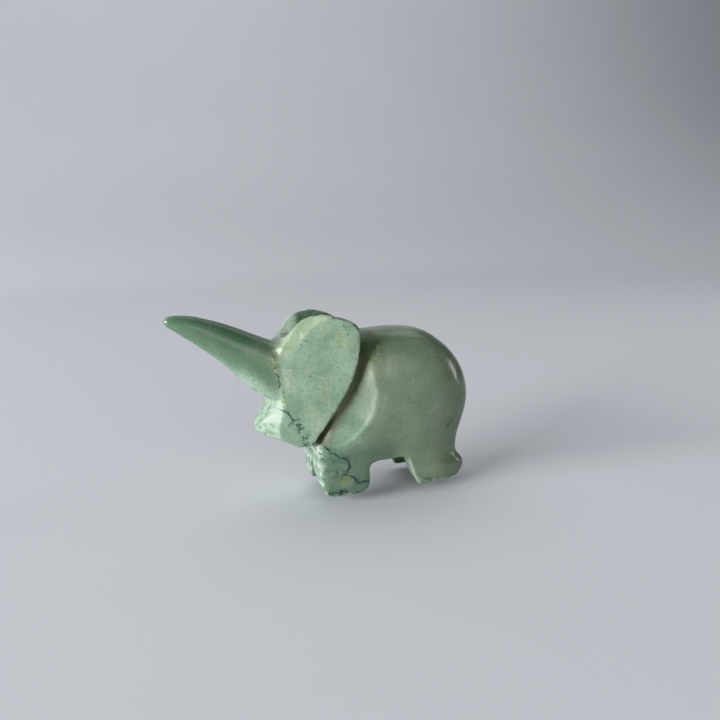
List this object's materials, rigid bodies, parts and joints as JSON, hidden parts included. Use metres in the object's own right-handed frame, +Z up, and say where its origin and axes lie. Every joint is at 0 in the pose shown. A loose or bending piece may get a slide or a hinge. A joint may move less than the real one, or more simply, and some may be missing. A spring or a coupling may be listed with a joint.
{
  "type": "elephant figurine",
  "caption": "Small standing elephant carved from one piece of polished green stone, with its trunk raised forward, flat flared ears, a blunt jaw and short square legs",
  "frame": {"origin": "centre of the bounding box in X and Y, on the ground plane that the four feet stand on", "axes": "-X the way the elephant faces (trunk), +X the rump, -Y the elephant's left side, +Z up"},
  "size_m": [0.0542, 0.0174, 0.0332],
  "materials": {
    "green_stone": "polished"
  },
  "bodies": {
    "root": {"elephant": "green_stone"}
  },
  "joints": []
}
